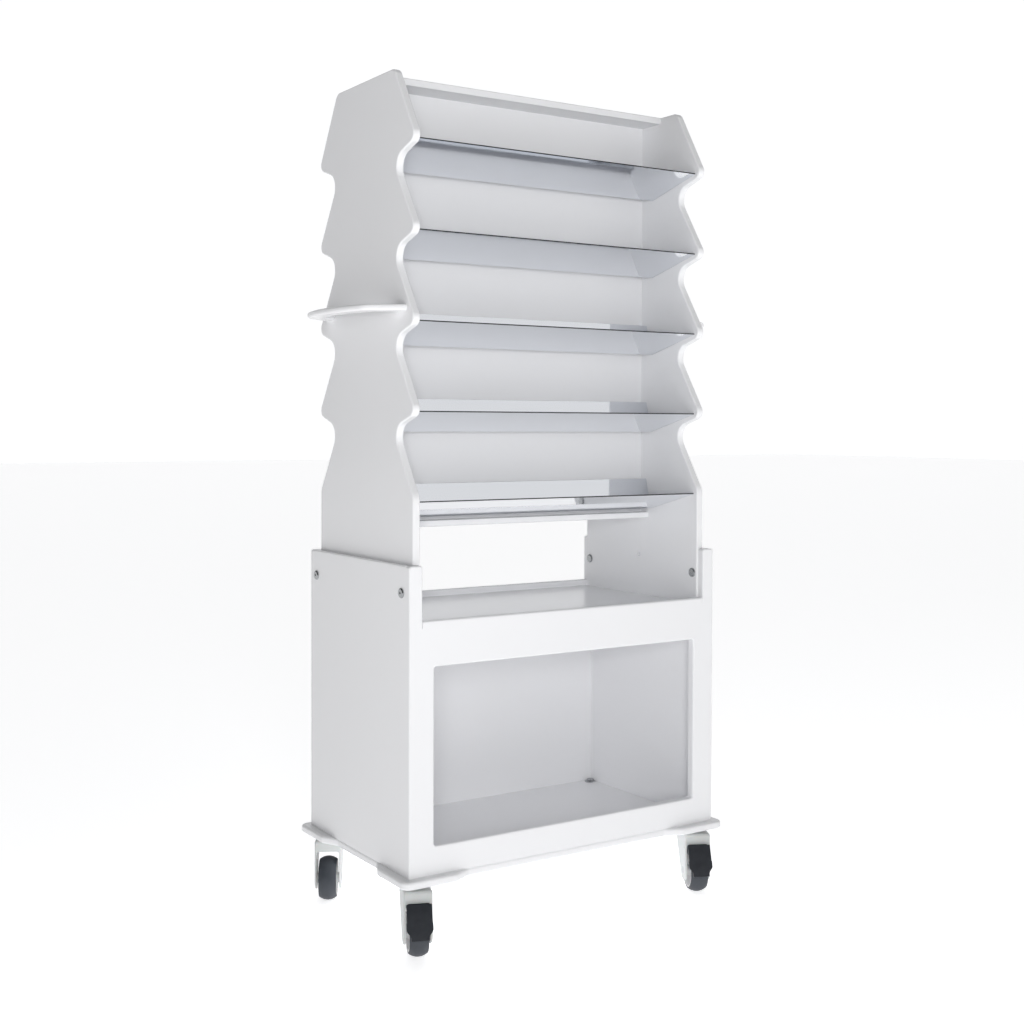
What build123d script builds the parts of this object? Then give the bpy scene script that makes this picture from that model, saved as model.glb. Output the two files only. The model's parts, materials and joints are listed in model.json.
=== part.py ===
from build123d import *
import os
from math import cos, radians, sin, sqrt

# Rolling double-sided display trolley. Millimetres, +X right, +Y back, +Z up.
# The origin is on the floor, under the middle of the cabinet.

# ---- Boards and the cabinet ----
BOARD = 14.0                    # thickness of every cabinet and side board
CASTER_HEIGHT = 113.0           # floor to the underside of the base board
CABINET_WIDTH = 650.0
CABINET_DEPTH = 380.0
EAR_TOP = 640.0                 # top of the cabinet's corners
TRAY_TOP = 537.0                # surface of the tray board
LIP_HEIGHT = 12.0               # strip that stands round the tray board
EAR_WIDTH = 25.0                # seen from the front
EAR_RADIUS = 5.0
WINDOW_HALF_WIDTH = 278.0       # opening in the front panel
WINDOW_BOTTOM = 174.5
WINDOW_TOP = 472.0
WINDOW_RADIUS = 5.0
EDGE_RADIUS = 3.0               # rounding of the lacquered edges

# ---- Base board, flush with the cabinet except at its four corner lobes ----
LOBE_OUT = 16.0                 # how far a lobe stands out
LOBE_LENGTH = 98.0              # along each edge, from the cabinet's corner
LOBE_CORNER_RADIUS = 15.0
LOBE_STEP_RADIUS = 14.0
BASE_EDGE_RADIUS = 4.5

# ---- Upper unit ----
TOP = 1466.0                    # top of the whole object
TIER_COUNT = 5
TIER_PITCH = 150.0
LOWEST_TIER = 742.0             # height of the lowest shelf's front edge
TIP_REACH = 183.5               # sharp corner of a lobe on the side board, from the middle
TIP_DROP = 2.75                 # below the shelf's front edge
TIP_RADIUS = 14.0
NOTCH_REACH = 104.3             # sharp corner of the notch under a lobe
NOTCH_DROP = 28.5
NOTCH_RADIUS = 26.0
TOP_REACH = 109.0               # half depth of the side board at its top edge
TOP_RADIUS = 17.0
SHOULDER_RADIUS = 28.0          # where the slope above the lowest notch meets the upright edge
CENTRE_THICKNESS = 12.0
CAP_THICKNESS = 12.0
CAP_DEPTH = 124.0
RAIL_THICKNESS = 11.0
RAIL_DEPTH = 58.0
RAIL_BOTTOM = 690.0
GROOVE_DEPTH = 5.0              # housings in the side boards
GROOVE_CLEARANCE = 0.15
CENTRE_GROOVE_BOTTOM = 618.0

# ---- Shelves: bent sheet trays that hang in L-shaped grooves ----
SHEET = 2.0
SHELF_FRONT = 165.5             # front edge, from the middle
SHELF_BEND = 35.0               # corner between the base and the upstand
SHELF_DROP = 34.0               # how much lower the bend lies than the front edge
UPSTAND = 60.0
BEND_RADIUS = 4.0
SHELF_IN_GROOVE = 4.5

# ---- Handles ----
HANDLE_THICKNESS = 11.0
HANDLE_BOTTOM = 1059.5
HANDLE_HALF_LENGTH = 155.0
HANDLE_HOLE_HALF_LENGTH = 118.0
HANDLE_CORNER = (58.0, 110.0)   # out from the side board, along it
HANDLE_OUT = 75.0
HANDLE_CORNER_RADIUS = 28.0
HANDLE_BAR = 30.0
HANDLE_EDGE_RADIUS = 4.5
HANDLE_DOWEL_Y = 128.0

# ---- Bolts that join the two units ----
CONNECTOR_Y = 163.0
CONNECTOR_Z = 594.0
CONNECTOR_HEAD_RADIUS = 8.5
CONNECTOR_HEAD = 3.0
CONNECTOR_RADIUS = 3.0
SLEEVE_RADIUS = 4.2
SLEEVE_LENGTH = 20.0
HEX_SOCKET = 4.0
FIT = 0.05                      # radial clearance of pins and shafts

# ---- Casters ----
STEM_X = 299.0
STEM_Y = 163.0
STEM_THREAD_RADIUS = 4.0
STEM_TOP = 133.0
SWIVEL_PIN_RADIUS = 6.0
COLLAR_RADIUS = 16.0
COLLAR_BOTTOM = 110.0
STEM_HEAD_RADIUS = 9.0
STEM_HEAD = (87.6, 90.6)
WASHER_RADIUS = 11.5
WASHER = 1.2
NUT_ACROSS = 13.0
NUT_HEIGHT = 4.0
TRAIL = 29.0
WHEEL_RADIUS = 39.0
RIM_RADIUS = 31.0
TYRE_WIDTH = 32.0
TYRE_SHOULDER = 33.5            # radius where the crown starts
HUB_RADIUS = 9.0
HUB_HALF_WIDTH = 20.0
FORK_HALF_WIDTH = 24.0
FORK_GAP_HALF = 20.5
FORK_TOP = 109.6
FORK_ARCH = 91.0
FORK_FRONT = 24.0
FORK_BACK = 45.0
FORK_FOOT_RADIUS = 19.5
BALL_RADIUS = 2.5
BALL_CIRCLE = 11.0
BALL_COUNT = 9
AXLE_RADIUS = 4.0
AXLE_HEAD_RADIUS = 6.5
AXLE_HEAD = 2.4
# Rest angle of each caster's trail, clockwise from straight forwards, in degrees.
CASTERS = {
    "front_left": (-1, -1, 22.0),
    "front_right": (1, -1, 26.0),
    "back_left": (-1, 1, 30.0),
    "back_right": (1, 1, 28.0),
}
BRAKED = ("front_left", "front_right")

# ---- Brake pedal, in a caster's own frame: the wheel trails towards -Y ----
PEDAL_PIVOT = (-38.0, 84.0)
PEDAL_HUB_RADIUS = 4.5
PEDAL_HUB_HALF_WIDTH = 19.0
PEDAL_TOP = (-50.0, 90.5)
PEDAL_FOOT = (-72.5, 38.5)
PEDAL_BULGE = 2.0
PEDAL_THICKNESS = 3.5
PEDAL_HALF_WIDTH = 21.8
PEDAL_FOOT_HALF_WIDTH = 15.0
PEDAL_KNEE = (46.5, 54.5)       # heights between which the plate narrows
PEDAL_STEP = (0.8, 66.0)        # small step inwards on each side, and its height
PEDAL_KNEE_RADIUS = 6.0
PEDAL_PIN_RADIUS = 2.0
SHOE_FOOT = (-61.5, 66.0)       # lowest corner of the block that grips the tyre
SHOE_GAP = 0.45

# ---- Dowels ----
DOWEL_RADIUS = 4.0
DOWEL_IN_FACE = 9.0             # depth in a board's face
DOWEL_IN_EDGE = 20.0            # depth in a board's edge
CORNER_DOWEL_HEIGHTS = (200.0, 350.0, 500.0)
SIDE_DOWEL_Y = 60.0
PANEL_DOWEL_X = 150.0
CAP_DOWEL_Y = 38.0
RAIL_DOWEL_Y = 18.0

# ---- Worked out from the above ----
BASE_TOP = CASTER_HEIGHT + BOARD
HALF_WIDTH = CABINET_WIDTH / 2
HALF_DEPTH = CABINET_DEPTH / 2
INNER_DEPTH = HALF_DEPTH - BOARD        # half depth inside the cabinet
UPPER_OUTER = HALF_WIDTH - BOARD        # outer face of the upper side boards
UPPER_INNER = UPPER_OUTER - BOARD
EAR_INNER = HALF_WIDTH - EAR_WIDTH
CAP_BOTTOM = TOP - CAP_THICKNESS
RAIL_TOP = RAIL_BOTTOM + RAIL_THICKNESS
TIERS = [LOWEST_TIER + TIER_PITCH * step for step in reversed(range(TIER_COUNT))]


def block(x_span, y_span, z_span):
    """A box between two corners, given as its spans along X, Y and Z."""
    spans = (x_span, y_span, z_span)
    size = [high - low for low, high in spans]
    middle = [(high + low) / 2 for low, high in spans]
    return Pos(*middle) * Box(*size)


def rod(start, end, radius):
    """A round rod between two points."""
    line = Line(start, end)
    return extrude(Plane(start, z_dir=line % 0) * Circle(radius), line.length)


def both_sides(solid):
    """A solid and its mirror image across the middle, as left and right."""
    return {"left": mirror(solid, about=Plane.YZ), "right": solid}


def corner_signs():
    """The four corners, as signs along X and Y."""
    return [(side, end) for side in (-1, 1) for end in (-1, 1)]


# ---------------------------------------------------------------- dowels

def face_dowel(point, into_edge):
    """End points of a dowel that crosses a joint at point, towards into_edge."""
    start = Vector(*point) - Vector(*into_edge) * DOWEL_IN_FACE
    end = Vector(*point) + Vector(*into_edge) * DOWEL_IN_EDGE
    return start, end


def cabinet_dowel_places():
    """Dowels between the cabinet's boards."""
    side_middle = HALF_WIDTH - BOARD / 2
    end_middle = HALF_DEPTH - BOARD / 2
    places = []
    for side, end in corner_signs():
        for height in CORNER_DOWEL_HEIGHTS:
            joint = (side * side_middle, end * INNER_DEPTH, height)
            places.append(face_dowel(joint, (0, -end, 0)))
        joint = (side * side_middle, end * SIDE_DOWEL_Y, BASE_TOP)
        places.append(face_dowel(joint, (0, 0, 1)))
        joint = (side * UPPER_OUTER, end * SIDE_DOWEL_Y, TRAY_TOP - BOARD / 2)
        places.append(face_dowel(joint, (-side, 0, 0)))
        joint = (side * PANEL_DOWEL_X, end * end_middle, BASE_TOP)
        places.append(face_dowel(joint, (0, 0, 1)))
    return places


def upper_dowel_places():
    """Dowels that hold the cap and the bottom rail between the side boards."""
    places = []
    for side, end in corner_signs():
        cap_joint = (side * UPPER_INNER, end * CAP_DOWEL_Y, TOP - CAP_THICKNESS / 2)
        rail_joint = (side * UPPER_INNER, end * RAIL_DOWEL_Y, RAIL_BOTTOM + RAIL_THICKNESS / 2)
        places.append(face_dowel(cap_joint, (-side, 0, 0)))
        places.append(face_dowel(rail_joint, (-side, 0, 0)))
    return places


def handle_dowel_places():
    """Dowels that hold each handle's two ends on its side board."""
    middle = HANDLE_BOTTOM + HANDLE_THICKNESS / 2
    places = []
    for side, end in corner_signs():
        joint = (side * UPPER_OUTER, end * HANDLE_DOWEL_Y, middle)
        places.append(face_dowel(joint, (side, 0, 0)))
    return places


DOWEL_SETS = {
    "cabinet_dowels": (cabinet_dowel_places(), DOWEL_RADIUS),
    "upper_dowels": (upper_dowel_places(), DOWEL_RADIUS - 1),
    "handle_dowels": (handle_dowel_places(), DOWEL_RADIUS - 1),
}


def dowels(name):
    """Every dowel of one set, as separate solids."""
    places, radius = DOWEL_SETS[name]
    return [rod(start, end, radius) for start, end in places]


def drilled(board, *names):
    """A board with the holes for the dowels of the named sets that reach it."""
    reach = board.bounding_box()
    for name in names:
        places, radius = DOWEL_SETS[name]
        for start, end in places:
            hole = rod(start, end, radius + FIT)
            box = hole.bounding_box()
            apart = (
                box.min.X > reach.max.X or box.max.X < reach.min.X
                or box.min.Y > reach.max.Y or box.max.Y < reach.min.Y
                or box.min.Z > reach.max.Z or box.max.Z < reach.min.Z
            )
            if not apart:
                board -= hole
    return board


# ---------------------------------------------------------------- cabinet

def base_board():
    """Board under the cabinet, with a lobe at each corner over its caster."""
    outline = Rectangle(CABINET_WIDTH, CABINET_DEPTH)
    for side, end in corner_signs():
        x_inner = HALF_WIDTH - LOBE_LENGTH
        y_inner = HALF_DEPTH - LOBE_LENGTH
        x_outer = HALF_WIDTH + LOBE_OUT
        y_outer = HALF_DEPTH + LOBE_OUT
        points = [
            (x_inner - LOBE_OUT, HALF_DEPTH - 1),
            (x_inner - LOBE_OUT, HALF_DEPTH),
            (x_inner + LOBE_OUT, y_outer),
            (x_outer, y_outer),
            (x_outer, y_inner + LOBE_OUT),
            (HALF_WIDTH, y_inner - LOBE_OUT),
            (HALF_WIDTH - 1, y_inner - LOBE_OUT),
            (x_inner, y_inner),
        ]
        outline += make_face(Polyline([(side * x, end * y) for x, y in points], close=True))
    corners = outline.vertices().filter_by(
        lambda v: abs(v.X) > HALF_WIDTH + 1 and abs(v.Y) > HALF_DEPTH + 1
    )
    outline = fillet(corners, LOBE_CORNER_RADIUS)
    steps = outline.vertices().filter_by(
        lambda v: abs(abs(v.X) - (HALF_WIDTH - LOBE_LENGTH)) < LOBE_OUT + 1
        or abs(abs(v.Y) - (HALF_DEPTH - LOBE_LENGTH)) < LOBE_OUT + 1
    )
    outline = fillet(steps, LOBE_STEP_RADIUS)
    board = extrude(Pos(0, 0, CASTER_HEIGHT) * outline, BOARD)
    rims = board.faces().filter_by(Axis.Z)
    board = fillet([edge for face in rims for edge in face.outer_wire().edges()], BASE_EDGE_RADIUS)
    for side, end in corner_signs():
        at = Pos(side * STEM_X, end * STEM_Y, BASE_TOP - BOARD / 2)
        board -= at * Cylinder(STEM_THREAD_RADIUS + 0.2, BOARD + 1)
    return drilled(board, "cabinet_dowels")


def cabinet_side():
    """Right-hand side of the cabinet, between the front and back panels."""
    board = block((UPPER_OUTER, HALF_WIDTH), (-INNER_DEPTH, INNER_DEPTH), (BASE_TOP, EAR_TOP))
    top_edges = board.edges().filter_by(Axis.Y).group_by(Axis.Z)[-1]
    board = fillet(top_edges, EDGE_RADIUS)
    return drilled(board - connector_holes(), "cabinet_dowels")


def end_panel_outline():
    """Front or back panel: a board whose top is cut down between two ears."""
    points = [
        (-HALF_WIDTH, BASE_TOP), (HALF_WIDTH, BASE_TOP),
        (HALF_WIDTH, EAR_TOP), (EAR_INNER, EAR_TOP),
        (EAR_INNER, TRAY_TOP), (-EAR_INNER, TRAY_TOP),
        (-EAR_INNER, EAR_TOP), (-HALF_WIDTH, EAR_TOP),
    ]
    outline = make_face(Polyline(points, close=True))
    ears = outline.vertices().filter_by(lambda v: v.Y > EAR_TOP - 1)
    return fillet(ears, EAR_RADIUS)


def end_panel(outline):
    """The front panel, cut from an outline, with its outer edges rounded."""
    panel = Pos(0, -INNER_DEPTH, 0) * extrude(Plane.XZ * outline, BOARD)
    outer_face = panel.faces().sort_by(Axis.Y)[0]
    edges = [
        edge for edge in outer_face.edges()
        if edge.center().Z > BASE_TOP + 1 and abs(edge.center().Z - TRAY_TOP) > 1
    ]
    return fillet(edges, EDGE_RADIUS)


def front_panel():
    """Front panel with the opening to the cabinet."""
    middle = (WINDOW_TOP + WINDOW_BOTTOM) / 2
    window = RectangleRounded(2 * WINDOW_HALF_WIDTH, WINDOW_TOP - WINDOW_BOTTOM, WINDOW_RADIUS)
    panel = end_panel(end_panel_outline() - Pos(0, middle) * window)
    return drilled(panel, "cabinet_dowels")


def back_panel():
    """Back panel, closed."""
    panel = mirror(end_panel(end_panel_outline()), about=Plane.XZ)
    return drilled(panel, "cabinet_dowels")


def tray_board():
    """Board that closes the cabinet and carries the upper unit."""
    board = block(
        (-UPPER_OUTER, UPPER_OUTER), (-INNER_DEPTH, INNER_DEPTH), (TRAY_TOP - BOARD, TRAY_TOP)
    )
    return drilled(board, "cabinet_dowels")


def lip_strip():
    """Front strip that stands on the front panel and edges the tray."""
    strip = block(
        (-EAR_INNER, EAR_INNER), (-HALF_DEPTH, -INNER_DEPTH), (TRAY_TOP, TRAY_TOP + LIP_HEIGHT)
    )
    top_edges = strip.edges().filter_by(Axis.X).group_by(Axis.Z)[-1]
    return fillet(top_edges, EDGE_RADIUS + 1)


# ---------------------------------------------------------------- joining bolts

def connector_holes():
    """Holes through the right-hand cabinet side and upper side board."""
    reach = SLEEVE_LENGTH + 3 * BOARD
    holes = []
    for end in (-1, 1):
        start = (UPPER_INNER - BOARD, end * CONNECTOR_Y, CONNECTOR_Z)
        finish = (UPPER_INNER - BOARD + reach, end * CONNECTOR_Y, CONNECTOR_Z)
        holes.append(rod(start, finish, SLEEVE_RADIUS + FIT))
    return holes


def connector_bolt():
    """Round-headed bolt with a hexagon socket, from the cabinet's right side."""
    shank = rod((UPPER_INNER + 2, 0, 0), (HALF_WIDTH + 1, 0, 0), CONNECTOR_RADIUS)
    head = rod((HALF_WIDTH, 0, 0), (HALF_WIDTH + CONNECTOR_HEAD, 0, 0), CONNECTOR_HEAD_RADIUS)
    rim = head.edges().filter_by(GeomType.CIRCLE).sort_by(Axis.X)[-1]
    bolt = fillet(rim, CONNECTOR_HEAD - 1) + shank
    socket_plane = Plane((HALF_WIDTH + CONNECTOR_HEAD, 0, 0), z_dir=(-1, 0, 0))
    return bolt - extrude(socket_plane * RegularPolygon(HEX_SOCKET / 2, 6), CONNECTOR_HEAD - 0.5)


def connector_sleeve():
    """Flanged sleeve nut that takes the bolt, from inside the upper unit."""
    flange = rod((UPPER_INNER - CONNECTOR_HEAD, 0, 0), (UPPER_INNER, 0, 0), CONNECTOR_HEAD_RADIUS)
    rim = flange.edges().filter_by(GeomType.CIRCLE).sort_by(Axis.X)[0]
    flange = fillet(rim, CONNECTOR_HEAD - 1)
    barrel = rod((UPPER_INNER - 1, 0, 0), (UPPER_INNER + SLEEVE_LENGTH, 0, 0), SLEEVE_RADIUS)
    bore_end = (UPPER_INNER + SLEEVE_LENGTH + 1, 0, 0)
    return flange + barrel - rod((UPPER_INNER - 0.5, 0, 0), bore_end, CONNECTOR_RADIUS + FIT)


def at_connectors(solid):
    """Four copies of a fastener made for the right side, one at each place."""
    copies = []
    for side, copy in both_sides(solid).items():
        for end in (-1, 1):
            copies.append(Pos(0, end * CONNECTOR_Y, CONNECTOR_Z) * copy)
    return copies


# ---------------------------------------------------------------- upper unit

def shelf_profile(extra=0.0):
    """Cross-section of a front shelf, grown by extra, with its front edge at the origin."""
    run = SHELF_FRONT - SHELF_BEND
    slope = sqrt(run ** 2 + SHELF_DROP ** 2)
    along = Vector(run / slope, -SHELF_DROP / slope)
    up = Vector(SHELF_DROP / slope, run / slope)
    front = Vector(0, 0)
    bend = front + along * slope
    points = [
        front - along * extra - up * extra,
        bend + along * extra - up * extra,
        bend + along * extra + up * (UPSTAND + extra),
        bend - along * (SHEET + extra) + up * (UPSTAND + extra),
        bend - along * (SHEET + extra) + up * (SHEET + extra),
        front - along * extra + up * (SHEET + extra),
    ]
    face = make_face(Polyline([(p.X, p.Y) for p in points], close=True))
    outer = face.vertices().sort_by_distance((bend.X, bend.Y, 0))[0]
    face = fillet(outer, BEND_RADIUS)
    inner_corner = bend - along * (SHEET + extra) + up * (SHEET + extra)
    inner = face.vertices().sort_by_distance((inner_corner.X, inner_corner.Y, 0))[0]
    return fillet(inner, BEND_RADIUS - SHEET)


def front_shelf(height, half_length, extra=0.0):
    """A bent shelf on the front, from its section, at one tier's height."""
    section = Plane((0, -SHELF_FRONT, height), x_dir=(0, 1, 0), z_dir=(1, 0, 0))
    return Pos(-half_length, 0, 0) * extrude(section * shelf_profile(extra), 2 * half_length)


def side_outline():
    """Scalloped outline of a side board: a lobe at each shelf, a notch under it."""
    lean = (TIP_REACH - NOTCH_REACH) / (TIER_PITCH - NOTCH_DROP + TIP_DROP)
    straight_top = LOWEST_TIER - TIP_DROP + (TIP_REACH - INNER_DEPTH) / lean
    half = [(INNER_DEPTH, TRAY_TOP), (INNER_DEPTH, straight_top)]
    for height in reversed(TIERS[:-1]):
        half.append((NOTCH_REACH, height - NOTCH_DROP))
        half.append((TIP_REACH, height - TIP_DROP))
    half.append((TOP_REACH, TOP))
    points = half + [(-y, z) for y, z in reversed(half)]
    outline = make_face(Polyline(points, close=True))
    roundings = (
        (TIP_REACH, TRAY_TOP, TIP_RADIUS),
        (NOTCH_REACH, TRAY_TOP, NOTCH_RADIUS),
        (TOP_REACH, TOP - 1, TOP_RADIUS),
        (INNER_DEPTH, TRAY_TOP, SHOULDER_RADIUS),
    )
    for reach, above, radius in roundings:
        corners = outline.vertices().filter_by(
            lambda v: abs(abs(v.X) - reach) < 0.01 and v.Y > above + 0.1
        )
        outline = fillet(corners, radius)
    return outline


def upper_side():
    """Right-hand side board of the upper unit, grooved for the shelves."""
    board = Pos(UPPER_INNER, 0, 0) * extrude(Plane.YZ * side_outline(), BOARD)
    faces = board.faces().filter_by(Axis.X)
    edges = [
        edge for face in faces for edge in face.outer_wire().edges()
        if edge.center().Z > TRAY_TOP + 1
    ]
    board = fillet(edges, EDGE_RADIUS)
    groove_end = UPPER_INNER + GROOVE_DEPTH
    for height in TIERS:
        groove = front_shelf(height, groove_end, GROOVE_CLEARANCE)
        board -= groove
        board -= mirror(groove, about=Plane.XZ)
    half_groove = CENTRE_THICKNESS / 2 + GROOVE_CLEARANCE
    board -= block((0, groove_end), (-half_groove, half_groove), (CENTRE_GROOVE_BOTTOM, CAP_BOTTOM))
    board -= Pos(0, 0, CENTRE_GROOVE_BOTTOM) * rod((0, 0, 0), (groove_end, 0, 0), half_groove)
    return drilled(board - connector_holes(), "upper_dowels", "handle_dowels")


def centre_panel():
    """Upright panel between the shelves, with a tongue down each side groove."""
    reach = UPPER_INNER + SHELF_IN_GROOVE
    half = CENTRE_THICKNESS / 2
    panel = block((-reach, reach), (-half, half), (RAIL_TOP, CAP_BOTTOM))
    for tongue_span in ((-reach, -UPPER_INNER), (UPPER_INNER, reach)):
        panel += block(tongue_span, (-half, half), (CENTRE_GROOVE_BOTTOM, RAIL_TOP))
    return panel


def top_cap():
    """Flat board across the top."""
    half = CAP_DEPTH / 2
    board = block((-UPPER_INNER, UPPER_INNER), (-half, half), (CAP_BOTTOM, TOP))
    board = fillet(board.edges().filter_by(Axis.X), EDGE_RADIUS - 1)
    return drilled(board, "upper_dowels")


def bottom_rail():
    """Narrow board under the centre panel."""
    half = RAIL_DEPTH / 2
    board = block((-UPPER_INNER, UPPER_INNER), (-half, half), (RAIL_BOTTOM, RAIL_TOP))
    board = fillet(board.edges().filter_by(Axis.X), EDGE_RADIUS - 1)
    return drilled(board, "upper_dowels")


def handle():
    """Right-hand push handle: a flat loop that stands out from the side board."""
    corner_out, corner_along = HANDLE_CORNER
    outer = [
        Line((0, -HANDLE_HALF_LENGTH), (corner_out, -corner_along)),
        ThreePointArc((corner_out, -corner_along), (HANDLE_OUT, 0), (corner_out, corner_along)),
        Line((corner_out, corner_along), (0, HANDLE_HALF_LENGTH)),
        Line((0, HANDLE_HALF_LENGTH), (0, -HANDLE_HALF_LENGTH)),
    ]
    plate = make_face(outer)
    corners = plate.vertices().filter_by(lambda v: v.X > corner_out - 1)
    plate = fillet(corners, HANDLE_CORNER_RADIUS)
    hole_end = HANDLE_HOLE_HALF_LENGTH
    hole_corner = (corner_out - HANDLE_BAR, corner_along - HANDLE_BAR / 2)
    hole_edges = [
        Line((-1, -hole_end), (hole_corner[0], -hole_corner[1])),
        ThreePointArc(
            (hole_corner[0], -hole_corner[1]),
            (HANDLE_OUT - HANDLE_BAR, 0),
            (hole_corner[0], hole_corner[1]),
        ),
        Line((hole_corner[0], hole_corner[1]), (-1, hole_end)),
        Line((-1, hole_end), (-1, -hole_end)),
    ]
    hole = make_face(hole_edges)
    hole_corners = hole.vertices().filter_by(lambda v: v.X > hole_corner[0] - 1)
    plate -= fillet(hole_corners, HANDLE_CORNER_RADIUS / 2)
    loop = extrude(Pos(UPPER_OUTER, 0, HANDLE_BOTTOM) * plate, HANDLE_THICKNESS)
    rims = [
        edge for face in loop.faces().filter_by(Axis.Z) for edge in face.edges()
        if edge.center().X > UPPER_OUTER + 1
    ]
    return drilled(fillet(rims, HANDLE_EDGE_RADIUS), "handle_dowels")


# ---------------------------------------------------------------- casters

def stem():
    """Threaded stem with a collar, a swivel pin and a head under the fork's crown."""
    thread = rod((0, 0, CASTER_HEIGHT - 1), (0, 0, STEM_TOP), STEM_THREAD_RADIUS)
    thread = chamfer(thread.edges().sort_by(Axis.Z)[-1], 0.8)
    collar = rod((0, 0, COLLAR_BOTTOM), (0, 0, CASTER_HEIGHT), COLLAR_RADIUS)
    pin = rod((0, 0, STEM_HEAD[0]), (0, 0, COLLAR_BOTTOM), SWIVEL_PIN_RADIUS)
    head = rod((0, 0, STEM_HEAD[0]), (0, 0, STEM_HEAD[1]), STEM_HEAD_RADIUS)
    return thread + collar + pin + head


def washer():
    """Plain washer on the cabinet floor."""
    ring = rod((0, 0, BASE_TOP), (0, 0, BASE_TOP + WASHER), WASHER_RADIUS)
    ring = fillet(ring.edges().sort_by(Axis.Z)[-1], 0.5)
    return ring - rod((0, 0, BASE_TOP - 1), (0, 0, STEM_TOP), STEM_THREAD_RADIUS + 0.2)


def nut():
    """Hexagon nut on the stem's thread."""
    bottom = BASE_TOP + WASHER
    hexagon = RegularPolygon(NUT_ACROSS / 2, 6, major_radius=False)
    body = extrude(Pos(0, 0, bottom) * hexagon, NUT_HEIGHT)
    corner_radius = NUT_ACROSS / sqrt(3)
    barrel = Pos(0, 0, bottom + NUT_HEIGHT / 2) * Cylinder(corner_radius, NUT_HEIGHT)
    body &= chamfer(barrel.edges().sort_by(Axis.Z)[-1], 0.9)
    return body - rod((0, 0, BASE_TOP), (0, 0, STEM_TOP), STEM_THREAD_RADIUS + FIT)


def fork():
    """Moulded housing of a caster: a crown and two side plates."""
    foot = Pos(-TRAIL, WHEEL_RADIUS) * Circle(FORK_FOOT_RADIUS)
    crown_height = FORK_TOP - FORK_ARCH + 3
    crown_middle = ((FORK_FRONT - FORK_BACK) / 2, FORK_TOP - crown_height / 2)
    crown = Pos(*crown_middle) * RectangleRounded(FORK_FRONT + FORK_BACK, crown_height, 5)
    outline = make_hull(foot.edges() + crown.edges())
    body = extrude(Plane.YZ * outline, FORK_HALF_WIDTH, both=True)
    plates = body.faces().filter_by(Axis.X)
    body = fillet([edge for face in plates for edge in face.edges()], 3)
    gap_height = FORK_ARCH + 20
    gap = Pos(0, FORK_ARCH - gap_height / 2) * Rectangle(2 * FORK_GAP_HALF, gap_height)
    gap = fillet(gap.vertices().sort_by(Axis.Y)[-2:], 5)
    body -= Pos(0, 100, 0) * extrude(Plane.XZ * gap, 200)
    body -= rod((0, 0, FORK_ARCH - 1), (0, 0, FORK_TOP + 1), SWIVEL_PIN_RADIUS + FIT)
    race = rod((0, 0, FORK_TOP - 2 * BALL_RADIUS), (0, 0, FORK_TOP + 1), BALL_CIRCLE + BALL_RADIUS + 1)
    core = rod((0, 0, FORK_TOP - 6), (0, 0, FORK_TOP + 1), BALL_CIRCLE - BALL_RADIUS - 1)
    body -= race - core
    body -= axle_rod(FORK_HALF_WIDTH + 1, AXLE_RADIUS + FIT)
    for side in (-1, 1):
        recess = axle_rod(AXLE_HEAD, AXLE_HEAD_RADIUS + 0.3)
        body -= Pos(side * FORK_HALF_WIDTH, 0, 0) * recess
    return body


def braked_fork():
    """A fork with the bore for its pedal's pin."""
    return fork() - pedal_rod(FORK_HALF_WIDTH + 1, PEDAL_PIN_RADIUS + FIT)


def axle_rod(half_length, radius):
    """A rod along the wheel's axle."""
    start = (-half_length, -TRAIL, WHEEL_RADIUS)
    return rod(start, (half_length, -TRAIL, WHEEL_RADIUS), radius)


def pedal_rod(half_length, radius):
    """A rod along the pedal's pivot."""
    return rod((-half_length, *PEDAL_PIVOT), (half_length, *PEDAL_PIVOT), radius)


def swivel_balls():
    """Ring of balls between the fork's crown and the stem's collar."""
    middle = FORK_TOP - BALL_RADIUS
    return [
        Pos(BALL_CIRCLE * cos(turn), BALL_CIRCLE * sin(turn), middle) * Sphere(BALL_RADIUS - 0.1)
        for turn in [radians(360 / BALL_COUNT * step) for step in range(BALL_COUNT)]
    ]


def axle():
    """Axle bolt, with its head and its nut sunk in the side plates."""
    bolt = axle_rod(FORK_HALF_WIDTH - 0.4, AXLE_RADIUS)
    disc = axle_rod(AXLE_HEAD / 2, AXLE_HEAD_RADIUS)
    across = FORK_HALF_WIDTH - AXLE_HEAD / 2
    head = Pos(-across, 0, 0) * disc
    axle_nut = Pos(across, 0, 0) * disc - axle_rod(FORK_HALF_WIDTH, AXLE_RADIUS + FIT)
    return [bolt + head, axle_nut]


def turned_on_axle(section):
    """A ring about the wheel's axle, from its section drawn as (across, radius)."""
    plane = Plane((0, -TRAIL, WHEEL_RADIUS), x_dir=(1, 0, 0), z_dir=(0, -1, 0))
    return revolve(plane * section, Axis((0, -TRAIL, WHEEL_RADIUS), (1, 0, 0)))


def rim():
    """Wheel centre: hub, web and the band that carries the tyre."""
    half = TYRE_WIDTH / 2
    points = [
        (HUB_HALF_WIDTH, AXLE_RADIUS + FIT), (HUB_HALF_WIDTH, HUB_RADIUS),
        (4.0, HUB_RADIUS + 2), (3.0, RIM_RADIUS - 6), (half - 2, RIM_RADIUS - 3),
        (half, RIM_RADIUS - 2), (half, RIM_RADIUS),
    ]
    outline = points + [(-x, y) for x, y in reversed(points)]
    return turned_on_axle(make_face(Polyline(outline, close=True)))


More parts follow.
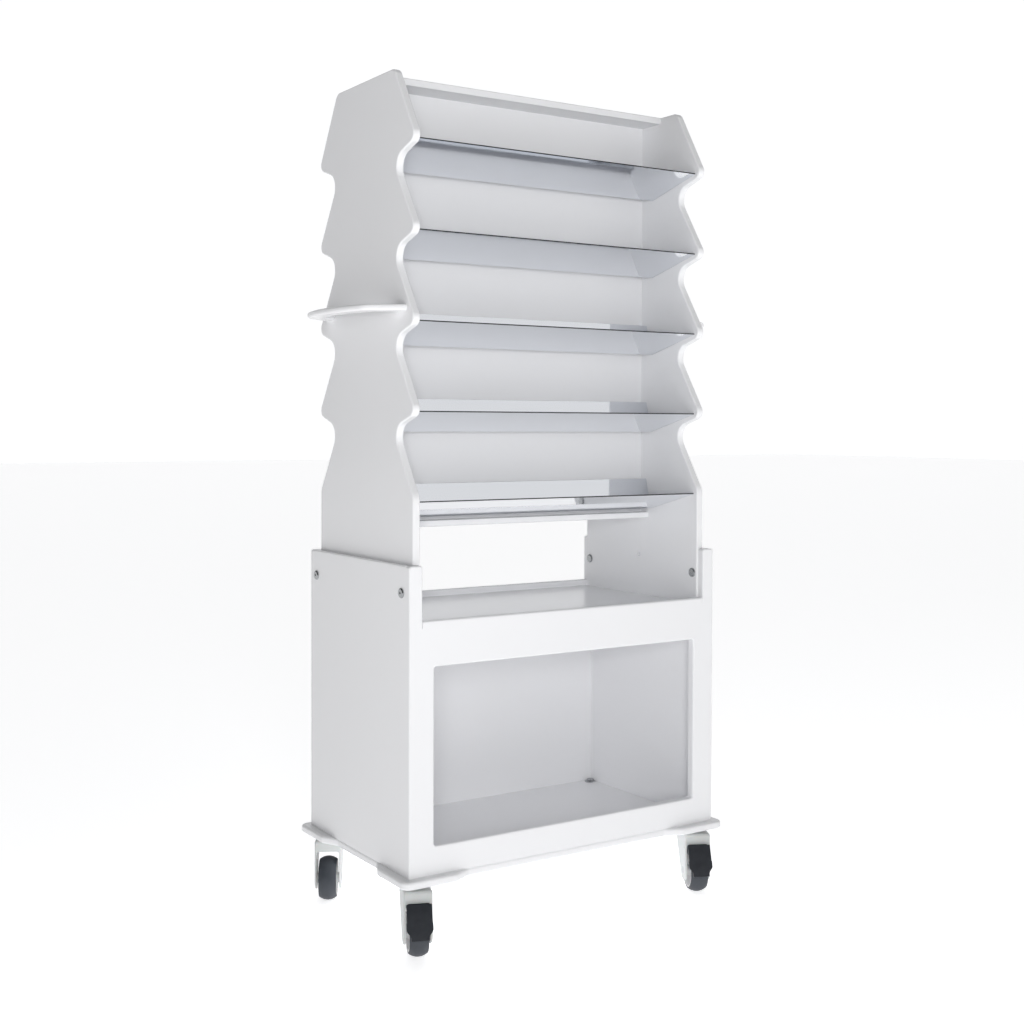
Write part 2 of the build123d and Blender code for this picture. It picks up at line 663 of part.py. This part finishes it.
def tyre():
    """Soft tyre with a crowned tread."""
    half = TYRE_WIDTH / 2
    edges = [
        Line((-half, RIM_RADIUS), (half, RIM_RADIUS)),
        Line((half, RIM_RADIUS), (half, TYRE_SHOULDER)),
        ThreePointArc((half, TYRE_SHOULDER), (0, WHEEL_RADIUS), (-half, TYRE_SHOULDER)),
        Line((-half, TYRE_SHOULDER), (-half, RIM_RADIUS)),
    ]
    return turned_on_axle(make_face(edges))


def tread_plate():
    """The pedal's curved plate, narrowed at its foot."""
    top = Vector(*PEDAL_TOP)
    foot = Vector(*PEDAL_FOOT)
    along = (foot - top).normalized()
    out = Vector(along.Y, -along.X)
    middle = (top + foot) * 0.5 + out * PEDAL_BULGE
    shift = out * PEDAL_THICKNESS
    section = make_face([
        ThreePointArc(top, middle, foot),
        Line(foot, foot + shift),
        ThreePointArc(foot + shift, middle + shift, top + shift),
        Line(top + shift, top),
    ])
    step_in, step_height = PEDAL_STEP
    right = [
        (PEDAL_HALF_WIDTH - step_in, PEDAL_TOP[1] + PEDAL_THICKNESS),
        (PEDAL_HALF_WIDTH - step_in, step_height),
        (PEDAL_HALF_WIDTH, step_height - step_in),
        (PEDAL_HALF_WIDTH, PEDAL_KNEE[1]),
        (PEDAL_FOOT_HALF_WIDTH, PEDAL_KNEE[0]),
        (PEDAL_FOOT_HALF_WIDTH, PEDAL_FOOT[1] - PEDAL_THICKNESS),
    ]
    front = make_face(Polyline(right + [(-x, z) for x, z in reversed(right)], close=True))
    knees = front.vertices().filter_by(lambda v: PEDAL_KNEE[0] - 1 < v.Y < PEDAL_KNEE[1] + 1)
    front = fillet(knees, PEDAL_KNEE_RADIUS)
    band = extrude(Plane.YZ * section, PEDAL_HALF_WIDTH, both=True)
    return band & extrude(Plane.XZ * front, -2 * PEDAL_FOOT[0])


def pedal():
    """Brake pedal: a hub and an arm between the side plates, and the tread plate."""
    pivot_y, pivot_z = PEDAL_PIVOT
    top_y, top_z = PEDAL_TOP
    section = [
        (pivot_y, pivot_z + 2.5),
        (top_y - 2.5, top_z - 4),
        SHOE_FOOT,
        (pivot_y, SHOE_FOOT[1]),
    ]
    arm = make_face(Polyline(section, close=True))
    arm = extrude(Plane.YZ * arm, PEDAL_HUB_HALF_WIDTH, both=True)
    body = tread_plate() + arm + pedal_rod(PEDAL_HUB_HALF_WIDTH, PEDAL_HUB_RADIUS)
    body -= axle_rod(2 * PEDAL_HALF_WIDTH, WHEEL_RADIUS + SHOE_GAP)
    return body - pedal_rod(FORK_HALF_WIDTH, PEDAL_PIN_RADIUS + FIT)


def placed(solid, name):
    """A caster piece turned to its rest angle, at its corner of the base board."""
    side, end, trail_angle = CASTERS[name]
    return Pos(side * STEM_X, end * STEM_Y, 0) * Rot(0, 0, -trail_angle) * solid


# ---------------------------------------------------------------- write the pieces

def write(name, solids):
    """One STEP file for a node, from one solid or several separate ones."""
    if isinstance(solids, (list, tuple)):
        solids = Compound(children=[solid.solid() for solid in solids])
    export_step(solids, f"parts/{name}.step")


def caster_nodes(name):
    """The moving pieces of one caster."""
    braked = name in BRAKED
    nodes = {
        f"fork_{name}": placed(braked_fork() if braked else fork(), name),
        f"swivel_balls_{name}": [placed(ball, name) for ball in swivel_balls()],
        f"axle_{name}": [placed(piece, name) for piece in axle()],
        f"rim_{name}": placed(rim(), name),
        f"tyre_{name}": placed(tyre(), name),
    }
    if braked:
        nodes[f"brake_pedal_{name}"] = placed(pedal(), name)
        nodes[f"brake_pin_{name}"] = placed(pedal_rod(FORK_HALF_WIDTH - 0.5, PEDAL_PIN_RADIUS), name)
    return nodes


def all_nodes():
    """Every node of the trolley, by name."""
    back_strip = mirror(lip_strip(), about=Plane.XZ)
    nodes = {
        "base_board": base_board(),
        "cabinet_front_panel": front_panel(),
        "cabinet_back_panel": back_panel(),
        "tray_board": tray_board(),
        "lip_strip_front": lip_strip(),
        "lip_strip_back": back_strip,
        "centre_panel": centre_panel(),
        "top_cap": top_cap(),
        "bottom_rail": bottom_rail(),
        "connector_bolts": at_connectors(connector_bolt()),
        "connector_sleeves": at_connectors(connector_sleeve()),
    }
    for side, solid in both_sides(cabinet_side()).items():
        nodes[f"cabinet_side_{side}"] = solid
    for side, solid in both_sides(upper_side()).items():
        nodes[f"upper_side_{side}"] = solid
    for side, solid in both_sides(handle()).items():
        nodes[f"handle_{side}"] = solid
    for number, height in enumerate(TIERS, start=1):
        shelf = front_shelf(height, UPPER_INNER + SHELF_IN_GROOVE)
        nodes[f"shelf_front_{number}"] = shelf
        nodes[f"shelf_back_{number}"] = mirror(shelf, about=Plane.XZ)
    for name in DOWEL_SETS:
        nodes[name] = dowels(name)
    fastenings = {"caster_stems": stem(), "caster_washers": washer(), "caster_nuts": nut()}
    for name, piece in fastenings.items():
        nodes[name] = [placed(piece, corner) for corner in CASTERS]
    for name in CASTERS:
        nodes.update(caster_nodes(name))
    return nodes


os.makedirs("parts", exist_ok=True)
for node_name, node_solids in all_nodes().items():
    write(node_name, node_solids)
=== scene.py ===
"""The looks of the rolling display trolley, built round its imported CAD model.

Metres, +X right, +Y back, +Z up.
"""

import json
from math import cos, radians, sin

import bpy
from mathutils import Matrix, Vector


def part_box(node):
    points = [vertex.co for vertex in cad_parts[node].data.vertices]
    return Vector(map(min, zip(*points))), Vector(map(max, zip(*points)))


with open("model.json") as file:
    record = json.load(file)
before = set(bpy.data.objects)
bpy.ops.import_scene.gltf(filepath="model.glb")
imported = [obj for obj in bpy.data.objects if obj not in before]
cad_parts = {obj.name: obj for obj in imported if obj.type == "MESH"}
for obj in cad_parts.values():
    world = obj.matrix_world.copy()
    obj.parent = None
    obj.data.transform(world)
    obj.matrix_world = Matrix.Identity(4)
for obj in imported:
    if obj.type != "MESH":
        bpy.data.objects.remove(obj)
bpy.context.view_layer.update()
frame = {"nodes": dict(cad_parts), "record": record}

# Camera
CAMERA_PLACE = (-1.4154, -2.1753, 0.8689)
CAMERA_YAW = 33.024             # degrees clockwise from +Y
CAMERA_PITCH = 1.183            # degrees down
CAMERA_ROLL = -0.16
CAMERA_LENS = 48.91             # millimetres, on a 36 mm sensor
CAMERA_SHIFT = (-0.001, -0.0558)

# Light
MIDDLE = (0, 0, 0.7)
SURROUND_NEAR = 0.12            # strength of the surround at the camera's side of the object
SURROUND_FAR = 1.02             # and behind it
SURROUND_TURN = (0.45, 0.84)    # cosines, from the camera's heading, between which it brightens
SURROUND_COLOUR = (0.985, 0.99, 1, 1)
KEY_POWER = 44.0
KEY_PLACE = (-1.7, -2.9, 1.0)
KEY_SIZE = 0.8
PANEL_POWER = 20.0
PANEL_PLACE = (2.2, -3.0, 2.3)  # where the shelves' upstands mirror it towards the camera
PANEL_SIZE = 3.0
BOUNCES = 10                    # light goes to and fro between the shelves and the white boards
FLOOR_SIZE = 60.0
FLOOR_COLOUR = (0.94, 0.94, 0.945, 1)
FLOOR_GLOW = 0.70               # keeps the floor as pale as the surround

# The painted dark reflection along the shelves' front edge, placed from the frame
SHELF_PAINTED_REFLECTION_DEPTH = 0.0007             # how far back from the edge's foremost line it reaches


# ------------------------------------------------------------ node helpers

class Shader:
    """A material's node tree, with short names for the nodes it needs."""

    def __init__(self, name, **inputs):
        self.material = bpy.data.materials.new(name)
        self.material.use_nodes = True
        self.tree = self.material.node_tree
        self.surface = self.tree.nodes["Principled BSDF"]
        for label, value in inputs.items():
            self.surface.inputs[label.replace("_", " ")].default_value = value
        self.place = self.tree.nodes.new("ShaderNodeTexCoord").outputs["Object"]

    def node(self, kind, **settings):
        made = self.tree.nodes.new(kind)
        for label, value in settings.items():
            setattr(made, label, value)
        return made

    def link(self, output, target):
        self.tree.links.new(output, target)

    def stretched(self, scale):
        """The object's coordinates, scaled along X, Y and Z."""
        mapping = self.node("ShaderNodeMapping")
        self.link(self.place, mapping.inputs["Vector"])
        mapping.inputs["Scale"].default_value = scale
        return mapping.outputs["Vector"]

    def noise(self, scale, detail=2.0, stretch=None):
        made = self.node("ShaderNodeTexNoise")
        made.inputs["Scale"].default_value = scale
        made.inputs["Detail"].default_value = detail
        self.link(self.stretched(stretch) if stretch else self.place, made.inputs["Vector"])
        return made.outputs["Fac"]

    def ranged(self, value, low, high, start=0.3, end=0.7):
        """A value between start and end, brought to between low and high."""
        made = self.node("ShaderNodeMapRange")
        self.link(value, made.inputs["Value"])
        limits = {"From Min": start, "From Max": end, "To Min": low, "To Max": high}
        for label, number in limits.items():
            made.inputs[label].default_value = number
        return made.outputs["Result"]

    def mixed(self, factor, first, second):
        """A colour between two colours or colour outputs."""
        made = self.node("ShaderNodeMix", data_type="RGBA")
        self.link(factor, made.inputs["Factor"])
        for label, colour in (("A", first), ("B", second)):
            socket = next(s for s in made.inputs if s.name == label and s.type == "RGBA")
            if isinstance(colour, tuple):
                socket.default_value = (*colour, 1)
            else:
                self.link(colour, socket)
        return next(s for s in made.outputs if s.type == "RGBA")

    def colour(self, output):
        self.link(output, self.surface.inputs["Base Color"])

    def roughness(self, output):
        self.link(output, self.surface.inputs["Roughness"])

    def bump(self, height, strength, distance):
        made = self.node("ShaderNodeBump")
        made.inputs["Strength"].default_value = strength
        made.inputs["Distance"].default_value = distance
        self.link(height, made.inputs["Height"])
        self.link(made.outputs["Normal"], self.surface.inputs["Normal"])


# ------------------------------------------------------------ materials

def lacquered_board():
    """Glossy white lacquer over board, with a faint orange peel."""
    shader = Shader("lacquered_board", Specular_IOR_Level=0.3, Coat_Weight=0.1, Coat_Roughness=0.08)
    shader.colour(shader.mixed(shader.noise(2.0), (0.865, 0.868, 0.882), (0.875, 0.877, 0.890)))
    shader.roughness(shader.ranged(shader.noise(40.0, 1.0), 0.255, 0.265))
    shader.bump(shader.noise(420.0, 1.0), 0.04, 0.0001)
    return shader.material


def shelf_sheet():
    """Mirror-polished sheet whose front edge face is painted near-black, a painted reflection of dark
    surroundings.
    """
    shader = Shader("shelf_sheet")
    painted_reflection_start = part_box("shelf_back_1")[1].y - SHELF_PAINTED_REFLECTION_DEPTH
    across = shader.node("ShaderNodeSeparateXYZ")
    shader.link(shader.place, across.inputs["Vector"])
    reach = shader.node("ShaderNodeMath", operation="ABSOLUTE")
    shader.link(across.outputs["Y"], reach.inputs[0])
    edge = shader.node("ShaderNodeMath", operation="GREATER_THAN")
    shader.link(reach.outputs["Value"], edge.inputs[0])
    edge.inputs[1].default_value = painted_reflection_start
    # painted reflection: the front edge face gets a near-black, non-metallic colour that stands in for dark
    # surroundings mirrored in the polished edge
    painted_edge_reflection = edge.outputs["Value"]
    smears = shader.noise(9.0, 4.0)
    polish = shader.mixed(smears, (0.80, 0.82, 0.86), (0.83, 0.85, 0.885))
    shader.colour(shader.mixed(painted_edge_reflection, polish, (0.02, 0.022, 0.026)))
    shader.roughness(shader.ranged(smears, 0.035, 0.075))
    metal = shader.node("ShaderNodeMath", operation="SUBTRACT")
    metal.inputs[0].default_value = 1.0
    shader.link(painted_edge_reflection, metal.inputs[1])
    shader.link(metal.outputs["Value"], shader.surface.inputs["Metallic"])
    shader.bump(shader.noise(6.0, 1.0), 0.12, 0.0008)
    return shader.material


def bright_steel():
    """Polished steel with fine turning marks."""
    shader = Shader("bright_steel", Metallic=1.0)
    marks = shader.noise(900.0, 2.0, (0.2, 1, 1))
    shader.colour(shader.mixed(marks, (0.36, 0.37, 0.38), (0.46, 0.47, 0.48)))
    shader.roughness(shader.ranged(marks, 0.16, 0.28))
    return shader.material


def zinc_steel():
    """Zinc-plated steel, dulled in patches."""
    shader = Shader("zinc_steel", Metallic=1.0)
    patches = shader.noise(160.0, 4.0)
    shader.colour(shader.mixed(patches, (0.42, 0.43, 0.45), (0.58, 0.59, 0.60)))
    shader.roughness(shader.ranged(patches, 0.28, 0.45))
    shader.bump(shader.noise(1800.0), 0.1, 0.00005)
    return shader.material


def dowel_wood():
    """Plain beech with its grain along the dowels."""
    shader = Shader("dowel_wood")
    grain = shader.noise(260.0, 5.0, (0.15, 1, 1))
    shader.colour(shader.mixed(grain, (0.56, 0.38, 0.22), (0.72, 0.54, 0.35)))
    shader.roughness(shader.ranged(grain, 0.55, 0.75))
    shader.bump(grain, 0.3, 0.0002)
    return shader.material


def moulded_grey(name, dark, light):
    """Light grey moulded plastic with a fine texture and faint flow marks."""
    shader = Shader(name, Subsurface_Weight=0.08, Subsurface_Scale=0.004)
    flow = shader.noise(55.0, 3.0)
    shader.colour(shader.mixed(flow, dark, light))
    shader.roughness(shader.ranged(flow, 0.30, 0.42))
    shader.bump(shader.noise(2200.0, 1.0), 0.12, 0.00006)
    return shader.material


def tyre_rubber():
    """Dark blue-grey rubber with a little dust on it."""
    shader = Shader("tyre_rubber")
    dust = shader.noise(120.0, 5.0)
    shader.colour(shader.mixed(dust, (0.034, 0.040, 0.050), (0.062, 0.068, 0.080)))
    shader.roughness(shader.ranged(dust, 0.48, 0.66))
    shader.bump(shader.noise(1400.0, 3.0), 0.25, 0.00012)
    return shader.material


def pedal_plastic():
    """Black moulded plastic with a spark-eroded texture."""
    shader = Shader("pedal_plastic")
    wear = shader.noise(90.0, 4.0)
    shader.colour(shader.mixed(wear, (0.018, 0.020, 0.025), (0.036, 0.039, 0.046)))
    shader.roughness(shader.ranged(wear, 0.36, 0.50))
    shader.bump(shader.noise(2600.0, 2.0), 0.3, 0.00008)
    return shader.material


MATERIALS = {
    "lacquered_board": lacquered_board(),
    "shelf_sheet": shelf_sheet(),
    "bright_steel": bright_steel(),
    "zinc_steel": zinc_steel(),
    "dowel_wood": dowel_wood(),
    "caster_housing": moulded_grey("caster_housing", (0.56, 0.58, 0.575), (0.62, 0.64, 0.635)),
    "wheel_rim": moulded_grey("wheel_rim", (0.66, 0.66, 0.66), (0.71, 0.71, 0.71)),
    "tyre_rubber": tyre_rubber(),
    "pedal_plastic": pedal_plastic(),
}


def dress_nodes():
    """Gives every CAD node the material of its slot."""
    for part in frame["record"]["subparts"]:
        node = frame["nodes"][part["node"]]
        node.data.materials.clear()
        node.data.materials.append(MATERIALS[part["material_slot"]])


# ------------------------------------------------------------ floor, light, camera

def floor():
    """A plain pale floor."""
    bpy.ops.mesh.primitive_plane_add(size=FLOOR_SIZE, location=(0, 0, 0))
    plane = bpy.context.object
    plane.name = "floor"
    glow = {"Emission_Color": FLOOR_COLOUR, "Emission_Strength": FLOOR_GLOW}
    shader = Shader("floor", Base_Color=FLOOR_COLOUR, Roughness=0.6, **glow)
    shader.bump(shader.noise(30.0), 0.02, 0.0005)
    plane.data.materials.append(shader.material)


def soft_light(name, place, size, power, mirrored):
    """A square area light that points at the object's middle, and may show in mirrors."""
    data = bpy.data.lights.new(name, "AREA")
    data.size = size
    data.energy = power
    light = bpy.data.objects.new(name, data)
    light.location = place
    light.visible_glossy = mirrored
    light.rotation_euler = (Vector(MIDDLE) - Vector(place)).to_track_quat("-Z", "Y").to_euler()
    bpy.context.scene.collection.objects.link(light)


def studio():
    """A surround that is white only behind the object, a key light by the camera and a panel at the right."""
    world = bpy.data.worlds.new("surround")
    world.use_nodes = True
    tree = world.node_tree
    background = tree.nodes["Background"]
    background.inputs["Color"].default_value = SURROUND_COLOUR
    behind = tree.nodes.new("ShaderNodeVectorMath")
    behind.operation = "DOT_PRODUCT"
    yaw = radians(CAMERA_YAW)
    behind.inputs[1].default_value = (sin(yaw), cos(yaw), 0)
    strength = tree.nodes.new("ShaderNodeMapRange")
    turn_start, turn_end = SURROUND_TURN
    limits = {"From Min": turn_start, "From Max": turn_end, "To Min": SURROUND_NEAR, "To Max": SURROUND_FAR}
    for label, number in limits.items():
        strength.inputs[label].default_value = number
    tree.links.new(tree.nodes.new("ShaderNodeTexCoord").outputs["Generated"], behind.inputs[0])
    tree.links.new(behind.outputs["Value"], strength.inputs["Value"])
    tree.links.new(strength.outputs["Result"], background.inputs["Strength"])
    bpy.context.scene.world = world
    soft_light("key", KEY_PLACE, KEY_SIZE, KEY_POWER, False)
    soft_light("panel", PANEL_PLACE, PANEL_SIZE, PANEL_POWER, True)


def camera():
    """The camera, to the left of the front and looking slightly down."""
    data = bpy.data.cameras.new("camera")
    data.sensor_width = 36
    data.lens = CAMERA_LENS
    data.shift_x, data.shift_y = CAMERA_SHIFT
    made = bpy.data.objects.new("camera", data)
    made.location = CAMERA_PLACE
    made.rotation_euler = [radians(a) for a in (90 - CAMERA_PITCH, CAMERA_ROLL, -CAMERA_YAW)]
    bpy.context.scene.collection.objects.link(made)
    bpy.context.scene.camera = made


dress_nodes()
floor()
studio()
camera()
bpy.context.scene.view_settings.view_transform = "Standard"
bpy.context.scene.cycles.glossy_bounces = BOUNCES
bpy.context.scene.cycles.diffuse_bounces = BOUNCES
